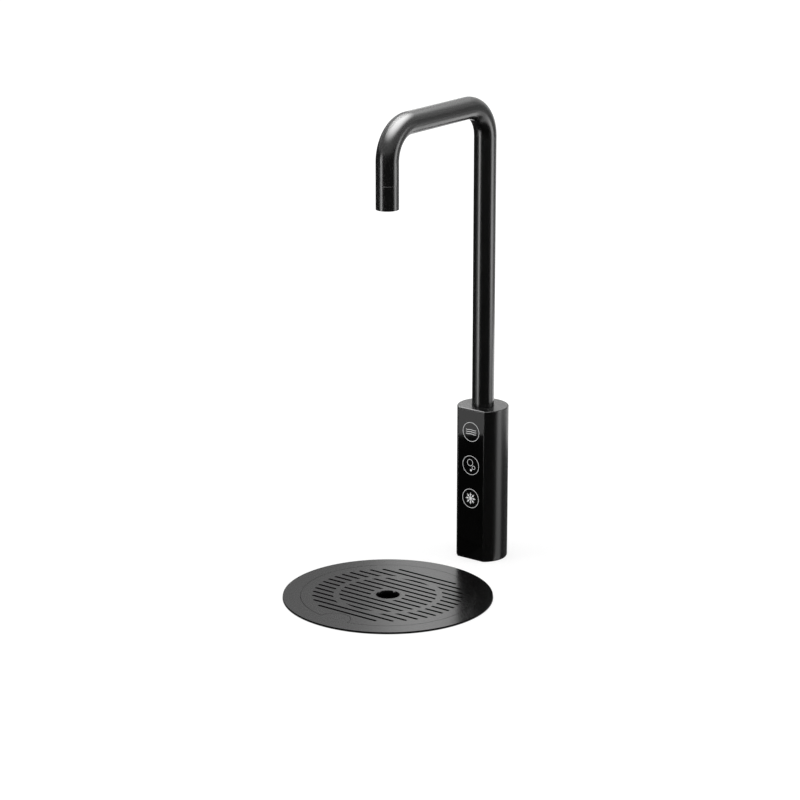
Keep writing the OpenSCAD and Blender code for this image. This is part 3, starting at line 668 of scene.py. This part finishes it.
# %% [markdown]
# The waves are three sine lines. The bubbles are two rings and a dot. The crystal is one arm with
# a pair of barbs, turned eight times round its middle.

# %% Still water
WAVE_WIDE, WAVE_HIGH, WAVE_STEP, WAVE_STROKE = 11.8, 0.22, 2.1, 0.52
WAVE_COUNT, WAVE_PARTS = 1.5, 36


def wave_points(z):
    return [(WAVE_WIDE * (i / WAVE_PARTS - 0.5),
             z - WAVE_HIGH * sin(2 * pi * WAVE_COUNT * i / WAVE_PARTS))
            for i in range(WAVE_PARTS + 1)]


waves = bmesh.new()
for row in (-1, 0, 1):
    print_stroke(waves, wave_points(RING_Z["still"] + row * WAVE_STEP), WAVE_STROKE)
add_mark("still", waves)

# %% Sparkling water
BUBBLES = [(-0.9, 2.6, 3.2), (3.3, -2.0, 1.75)]
BUBBLE_STROKE = 0.42
SMALL_BUBBLE = (0.3, -5.0, 1.1)

bubbles = bmesh.new()
for x, above, radius in BUBBLES:
    print_ring(bubbles, x, RING_Z["sparkling"] + above, radius, BUBBLE_STROKE)
x, above, radius = SMALL_BUBBLE
print_dot(bubbles, x, RING_Z["sparkling"] + above, radius)
add_mark("sparkling", bubbles)

# %% Chilled water
ARM_COUNT, ARM_START, ARM_LONG, ARM_STROKE = 8, 0.3, 5.75, 0.66
BARB_AT, BARB_LONG, BARB_LEAN, BARB_STROKE = 3.0, 1.45, 0.7, 0.46

crystal = bmesh.new()
middle = RING_Z["chilled"]
print_stroke(crystal, [(0, middle + ARM_START), (0, middle + ARM_LONG)], ARM_STROKE)
for side in (-1, 1):
    tip = (side * BARB_LONG * BARB_LEAN, middle + BARB_AT + BARB_LONG)
    print_stroke(crystal, [(0, middle + BARB_AT), tip], BARB_STROKE)
bmesh.ops.spin(crystal, geom=crystal.verts[:] + crystal.edges[:] + crystal.faces[:],
               cent=on_glass(0, middle), axis=(0, 1, 0), angle=2 * pi, steps=ARM_COUNT,
               use_duplicate=True, use_merge=False)
add_mark("chilled", crystal)

# %% [markdown]
# ## The worktop
#
# The tap stands on a worktop that the photograph shows as pure white. The floor is a plain sheet
# with a hole for the column's shank and one for the tray's tub, so that nothing white shines up
# through the slots. A large plane with two cuts would do as well, but filling the space between
# three circles needs one operator: the sheet's own outline is a circle with four corners.

# %% Floor with two holes
FLOOR_REACH = 12.0
SHANK_HOLE_R = 16 * MM
TUB_HOLE_R = 90 * MM
HOLE_CORNERS = 96


def make_floor():
    bm = bmesh.new()
    middle = Matrix.Identity(4)
    edges = circle(bm, FLOOR_REACH, middle, 4) + circle(bm, SHANK_HOLE_R, middle, HOLE_CORNERS)
    edges += circle(bm, TUB_HOLE_R, Matrix.Translation(TRAY_CENTRE), HOLE_CORNERS)
    bmesh.ops.triangle_fill(bm, edges=edges, use_beauty=True, normal=(0, 0, 1))
    return mesh_object("worktop", bm)


worktop = make_floor()
print("worktop faces:", len(worktop.data.polygons))

# %% [markdown]
# ## The white room
#
# Lamps strong enough to turn floor and room white would wash out the black tap. So both show one
# thing and send out another. To the camera and to reflections they glow up to white, and to
# everything else the floor is a dull surface that takes the tap's shadow and the room gives a weak
# fill. One mask, 1 for camera, glossy and transmission rays and 0 for the rest, serves both.


# %% Helpers: masks and ramps
def seen_directly(tree):
    """Value that is 1 for the rays that show the background and 0 for those that carry light."""
    path = add_node(tree, "ShaderNodeLightPath")
    first = add_node(tree, "ShaderNodeMath", operation="MAXIMUM")
    both = add_node(tree, "ShaderNodeMath", operation="MAXIMUM")
    join(tree, (path.outputs["Is Camera Ray"], first.inputs[0]),
         (path.outputs["Is Glossy Ray"], first.inputs[1]),
         (first.outputs["Value"], both.inputs[0]),
         (path.outputs["Is Transmission Ray"], both.inputs[1]))
    return both.outputs["Value"]


def distance_from(tree, centre):
    """Distance of a shaded point from a place, in metres."""
    place = add_node(tree, "ShaderNodeTexCoord")
    far = add_node(tree, "ShaderNodeVectorMath", operation="DISTANCE")
    far.inputs[1].default_value = centre
    join(tree, (place.outputs["Object"], far.inputs[0]))
    return far.outputs["Value"]


def ramp(tree, value, start, stop, low, high):
    """Soft step from low to high while the value goes from start to stop."""
    step = add_node(tree, "ShaderNodeMapRange", {"From Min": start, "From Max": stop,
                                                 "To Min": low, "To Max": high},
                    interpolation_type="SMOOTHSTEP")
    join(tree, (value, step.inputs["Value"]))
    return step.outputs["Result"]


print("masks and ramps ready")

# %% [markdown]
# The floor's glow is a little weaker near the tap, which gives it ground to stand on, and it stops
# at the tray's rim: the gap under the rim is painted shade, kept dark by taking its glow away.

# %% White for the worktop
FLOOR_TONE, FLOOR_ROUGH = 0.34, 0.9
GLOW_NEAR, GLOW_FAR = 0.74, 1.0
GLOW_FROM, GLOW_TO = 0.10, 0.90
TRAY_R, TRAY_EDGE = 99.5 * MM, 0.5 * MM


def make_worktop_white():
    material = bpy.data.materials.new("worktop_white")
    material.use_nodes = True
    tree = material.node_tree
    shader = tree.nodes["Principled BSDF"]
    shader.inputs["Roughness"].default_value = FLOOR_ROUGH
    shader.inputs["Specular IOR Level"].default_value = 0.0
    shader.inputs["Base Color"].default_value = (*grey(FLOOR_TONE), 1)
    shader.inputs["Emission Color"].default_value = (1, 1, 1, 1)
    between = TRAY_CENTRE / 2
    glow = ramp(tree, distance_from(tree, between), GLOW_FROM, GLOW_TO, GLOW_NEAR, GLOW_FAR)
    # Painted shade: the glow is taken away under the tray's rim, so the gap there reads dark.
    clear = ramp(tree, distance_from(tree, TRAY_CENTRE), TRAY_R, TRAY_R + TRAY_EDGE, 0, 1)
    glow_with_painted_rim_shade = add_node(tree, "ShaderNodeMath", operation="MULTIPLY")
    shown = add_node(tree, "ShaderNodeMath", operation="MULTIPLY")
    join(tree, (glow, glow_with_painted_rim_shade.inputs[0]), (clear, glow_with_painted_rim_shade.inputs[1]),
         (glow_with_painted_rim_shade.outputs["Value"], shown.inputs[0]), (seen_directly(tree), shown.inputs[1]),
         (shown.outputs["Value"], shader.inputs["Emission Strength"]))
    return material


worktop.data.materials.append(make_worktop_white())
print("worktop material:", worktop.data.materials[0].name)

# %% White for the room
ROOM_FILL = 0.25


def make_room():
    world = bpy.data.worlds.new("white_room")
    bpy.context.scene.world = world
    world.use_nodes = True
    tree = world.node_tree
    tree.nodes.clear()
    fill = add_node(tree, "ShaderNodeBackground", {"Color": (*grey(ROOM_FILL), 1)})
    white = add_node(tree, "ShaderNodeBackground", {"Color": (1, 1, 1, 1)})
    blend = add_node(tree, "ShaderNodeMixShader")
    out = add_node(tree, "ShaderNodeOutputWorld")
    join(tree, (seen_directly(tree), blend.inputs["Fac"]),
         (fill.outputs["Background"], blend.inputs[1]),
         (white.outputs["Background"], blend.inputs[2]),
         (blend.outputs["Shader"], out.inputs["Surface"]))
    return world


print("room:", make_room().name)

# %% [markdown]
# ## Lamps
#
# One wide soft box overhead gives the plain light that a colour needs to look as it is written, and
# two small ones at the sides keep upright faces from going flat. What the gloss of the coat mirrors
# is set apart from this, in the next step.

# %% Soft boxes
MIDDLE_Y = -0.08
LOOK_AT = (0, MIDDLE_Y, 0.1)
TOP_BOX_Z = 1.7
SIDE_BOX_ELEVATION, SIDE_BOX_R = 0.35, 1.6


def soft_box(name, centre, width, height, level):
    """Area lamp that lights a face at LOOK_AT with a level, where 1 shows a colour as written."""
    lamp = bpy.data.lights.new(name, "AREA")
    lamp.shape = "RECTANGLE"
    lamp.size, lamp.size_y = width, height
    away = Vector(centre) - Vector(LOOK_AT)
    lamp.energy = level * pi * pi * away.length * away.length
    box = bpy.data.objects.new(name, lamp)
    bpy.context.scene.collection.objects.link(box)
    box.location = centre
    box.rotation_euler = away.to_track_quat("Z", "Y").to_euler()
    box.visible_camera = False
    box.visible_glossy = False


def side_box(name, azimuth, level):
    soft_box(name, towards(radians(azimuth), SIDE_BOX_ELEVATION) * SIDE_BOX_R, 0.8, 1.2, level)


soft_box("top_box", (0, MIDDLE_Y, TOP_BOX_Z), 1.2, 1.2, 0.70)
side_box("left_box", -35, 0.25)
side_box("right_box", 115, 0.20)

# %% [markdown]
# ## Cards for the gloss
#
# A black object shows what it mirrors. The photograph's tube has two upright streaks with deep
# black between them and a long soft shine on the bends, so the studio had two upright panels, a
# large ceiling panel and black cloth at the front. Here each is a card that only reflections see:
# it sends no light to anything and never shows in a picture.
#
# A flat black plate under a bright ceiling would mirror it and look white from above. So each
# bright card is linked to the few pieces that need it. It is clear as well, so that its glow is
# added to what stands behind it. Cloths and plain cards hide what is behind them, and every piece
# sees them.


# %% Helpers: finish of a card
def card_finish(name, shine, clear):
    """Glow without any surface of its own. shine is a number, or a function that adds its nodes.

    A clear card adds its glow to what lies behind it, and any other one hides it.
    """
    material = bpy.data.materials.new(name)
    material.use_nodes = True
    material.cycles.emission_sampling = "NONE"
    tree = material.node_tree
    tree.nodes.clear()
    glow = add_node(tree, "ShaderNodeEmission", {"Color": (1, 1, 1, 1)})
    out = add_node(tree, "ShaderNodeOutputMaterial")
    if clear:
        through = add_node(tree, "ShaderNodeBsdfTransparent")
        both = add_node(tree, "ShaderNodeAddShader")
        join(tree, (glow.outputs["Emission"], both.inputs[0]),
             (through.outputs["BSDF"], both.inputs[1]),
             (both.outputs["Shader"], out.inputs["Surface"]))
    else:
        join(tree, (glow.outputs["Emission"], out.inputs["Surface"]))
    if callable(shine):
        join(tree, (shine(tree), glow.inputs["Strength"]))
    else:
        glow.inputs["Strength"].default_value = shine
    return material


def hang_card(name, bm, shine, shown_to=None):
    """Stage card. shown_to is a collection of the only pieces that mirror it."""
    card = mesh_object(name, bm, card_finish(name + "_glow", shine, shown_to is not None))
    if shown_to:
        card.light_linking.receiver_collection = shown_to
    card.visible_camera = False
    card.visible_diffuse = False
    card.visible_transmission = False
    card.visible_shadow = False
    card.visible_volume_scatter = False
    print("card", name, "for", shown_to.name if shown_to else "every piece")


print("card helpers ready")

# %% [markdown]
# Most cards are parts of a ring round the column. A wall card stands on the ring, and a floor card
# lies on the worktop between two radii, where it carries the mirrored wall on to the column's foot.
# Both begin as an arc, which is one vertex that is spun. Each call below gives a card's name, the
# azimuths of its two sides, its two heights or radii, its glow, and the pieces that mirror it.

# %% Helpers: cards on a ring
CARD_R = 1.3
CARD_LIFT = 0.4 * MM


def arc(bm, radius, start, stop, z, steps=32):
    """Open row of vertices round the column's axis, from one azimuth to another, in degrees."""
    first = bm.verts.new(towards(radians(start), 0) * radius + Vector((0, 0, z)))
    bmesh.ops.spin(bm, geom=[first], cent=(0, 0, 0), axis=(0, 0, 1), angle=radians(stop - start),
                   steps=steps, use_merge=False, use_duplicate=False)


def wall_card(name, start, stop, low, high, shine, shown_to=None):
    """Upright card on an arc round the column, from height low to height high."""
    bm = bmesh.new()
    arc(bm, CARD_R, start, stop, low)
    grown = bmesh.ops.extrude_edge_only(bm, edges=bm.edges[:])["geom"]
    bmesh.ops.translate(bm, verts=only(BMVert, grown), vec=(0, 0, high - low))
    hang_card(name, bm, shine, shown_to)


def floor_card(name, start, stop, near, far, shine, shown_to=None, near_span=None, z=CARD_LIFT):
    """Part of a ring that lies level just above the worktop or at height z, between two radii.

    Where it starts at the column, near_span gives the azimuths of its inner edge.
    """
    bm = bmesh.new()
    arc(bm, near, *(near_span or (start, stop)), z)
    arc(bm, far, start, stop, z)
    bmesh.ops.bridge_loops(bm, edges=bm.edges[:])
    hang_card(name, bm, shine, shown_to)


def graded(near, far, near_glow, far_glow, centre=(0, 0, 0)):
    """Glow that changes softly between two distances from a place."""
    return lambda tree: ramp(tree, distance_from(tree, centre), near, far, near_glow, far_glow)


print("wall cards stand at", CARD_R, "m")

# %% [markdown]
# ### Who mirrors which card
#
# A collection for light linking names the only pieces that see a bright card in their gloss. Four
# are enough: the spout alone, the column's shell alone, all upright walls, and the tray's plates.


# %% Collections of pieces
def collection_of(name, *pieces):
    """Collection for light linking. It isn't part of the scene's own tree."""
    group = bpy.data.collections.new(name)
    for piece in pieces:
        group.objects.link(piece)
    print(name, "holds", [piece.name for piece in pieces])
    return group


tube, nozzle, shell = (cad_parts[node]
                       for node in ("spout_tube", "nozzle_sleeve", "body_shell"))
SPOUT = collection_of("mirrors_spout", tube, nozzle)
SHELL = collection_of("mirrors_shell", shell)
UPRIGHTS = collection_of("mirrors_uprights", tube, nozzle, shell, grille_collar)
PLATES = collection_of("mirrors_plates", rim_plate, slotted_grille)

# %% [markdown]
# ### The shine on the bends
#
# The long shine on the spout's two bends is a wide panel under the ceiling, brightest over the tap
# and dark at its rim, so that the shine fades along the tube and has no hard end.

# %% Ceiling
CEILING_Z, CEILING_R = 1.95, 2.4
CEILING_GLOW = 19.0
CEILING_BRIGHT_R, CEILING_DARK_R = 0.3, 2.0
CEILING_CENTRE = (0, MIDDLE_Y, CEILING_Z)

ceiling = bmesh.new()
bmesh.ops.create_circle(ceiling, cap_ends=True, segments=64, radius=CEILING_R,
                        matrix=Matrix.Translation(CEILING_CENTRE))
hang_card("ceiling_card", ceiling,
          graded(CEILING_BRIGHT_R, CEILING_DARK_R, CEILING_GLOW, 0.0, CEILING_CENTRE), SPOUT)

# %% [markdown]
# ### The two upright streaks
#
# One narrow panel stands at the left of the camera and a fainter one at the right of the tap. Each
# runs on over the worktop, because an upright tube that is seen from a little above mirrors the
# floor over most of its height. The glow falls towards the column, as both streaks do.

# %% Streaks
FOOT_R = 0.026
SEAM_R = 0.45

wall_card("left_streak", -29, -14, 0.0, 0.55, 6.8, UPRIGHTS)
floor_card("left_streak_foot", -29, -14, SEAM_R, CARD_R, graded(0.45, 0.9, 4.2, 7.1), UPRIGHTS)
wall_card("right_streak", 107, 129, 0.0, 0.45, 4.6, UPRIGHTS)
floor_card("right_streak_near", 101, 122, FOOT_R, SEAM_R, graded(0.03, 0.45, 0.4, 1.05),
           UPRIGHTS, (62, 80))
floor_card("right_streak_foot", 107, 129, SEAM_R, CARD_R, graded(0.45, 1.2, 1.05, 4.3),
           UPRIGHTS, (101, 122))

# %% [markdown]
# ### The column's top
#
# The column's eased upper edge catches a bright line in the photograph. It is turned up and out,
# so it mirrors what hangs high behind the camera and at the left. These cards are for the column
# alone, because the spout's bends would mirror them too.

# %% High cards for the eased edge
wall_card("front_upper", -10, 85, 1.50, 3.00, 9.0, SHELL)
wall_card("left_upper", -150, -45, 1.15, CEILING_Z, 10.0, SHELL)
floor_card("left_roof", -165, -45, 0.40, CARD_R, 10.0, SHELL, z=CEILING_Z)

# %% [markdown]
# ### Black cloth at the front and at the left
#
# Between the streaks the real tap is deep black, although it stands in a white room. So cloth hangs
# behind the camera and at the left, and more of it lies on the worktop, where it meets the column's
# foot and the glass panel. Its glow is low but not zero, because cloth is never quite black.

# %% Cloth at the front
wall_card("front_cloth", -13, 100, 0.0, 0.60, 0.08)
floor_card("front_cloth_foot", -13, 101, FOOT_R, SEAM_R, 0.04, None, (-13, 62))
floor_card("panel_foot_cloth", -14, 62, 0.018, 0.027, 0.03)
floor_card("front_cloth_far", -13, 107, SEAM_R, CARD_R, 0.04, None, (-13, 101))

# %% Cloth at the left
AXIS_R = 0.002

wall_card("left_cloth", -128, -30, 0.0, 0.62, 0.07)
wall_card("left_cloth_low", -138, -128, 0.0, 0.46, 0.07)
floor_card("left_cloth_foot", -138, -50, AXIS_R, CARD_R, 0.06)
floor_card("panel_cloth_foot", -50, -13, AXIS_R, 0.43, 0.02)

# %% [markdown]
# ### Grey behind the tap
#
# Right of the right streak the tube ends in a soft grey edge, where it mirrors what stands behind
# the tap. Plain grey cards stand there, and a few cards for the spout alone lift the grey where the
# photograph shows it lighter. Cloth at the column's foot keeps the grey off the column.

# %% Cards behind the tap
wall_card("back_card", 132, 172, 0.0, 0.8, 0.5)
floor_card("back_card_foot", 146, 178, 0.85, CARD_R, 0.3)
floor_card("back_shine_foot", 146, 192, 0.46, 0.85, 1.45, SPOUT)
floor_card("back_shine_near", 163, 195, 0.38, 0.46, 1.35, SPOUT)
floor_card("back_side_foot", 132, 145, 0.95, CARD_R, 0.7, SPOUT)
floor_card("back_cloth_foot", 128, 163, FOOT_R, SEAM_R, 0.12, None, (84, 100))
floor_card("back_cloth_near", 163, 195, FOOT_R, 0.37, 0.12, None, (100, 116))
wall_card("back_upper", 171, 212, 1.15, 1.90, 0.4, SPOUT)

# %% [markdown]
# ### What the tray mirrors
#
# The camera looks at the tray from a low height, so its flat top mirrors the wall behind it: near
# parts of the tray show the upper wall, and far parts the lower one. Three plain cards make the
# upper wall, from grey at the left to bright and then white. The low one is for the plates alone,
# and it fades out at its top, so that no edge shows on the tray.

# %% Cards behind the tray
wall_card("side_white", -138, -128, 0.46, 1.10, 0.65)
wall_card("back_white", -178, -142.6, 0.50, 1.10, 1.05)
wall_card("back_white_left", -142.6, -138, 0.50, 1.10, 1.80)
wall_card("far_white", -178, -120, 0.0, 0.46, graded(1.338, 1.370, 0.65, 0.0), PLATES)
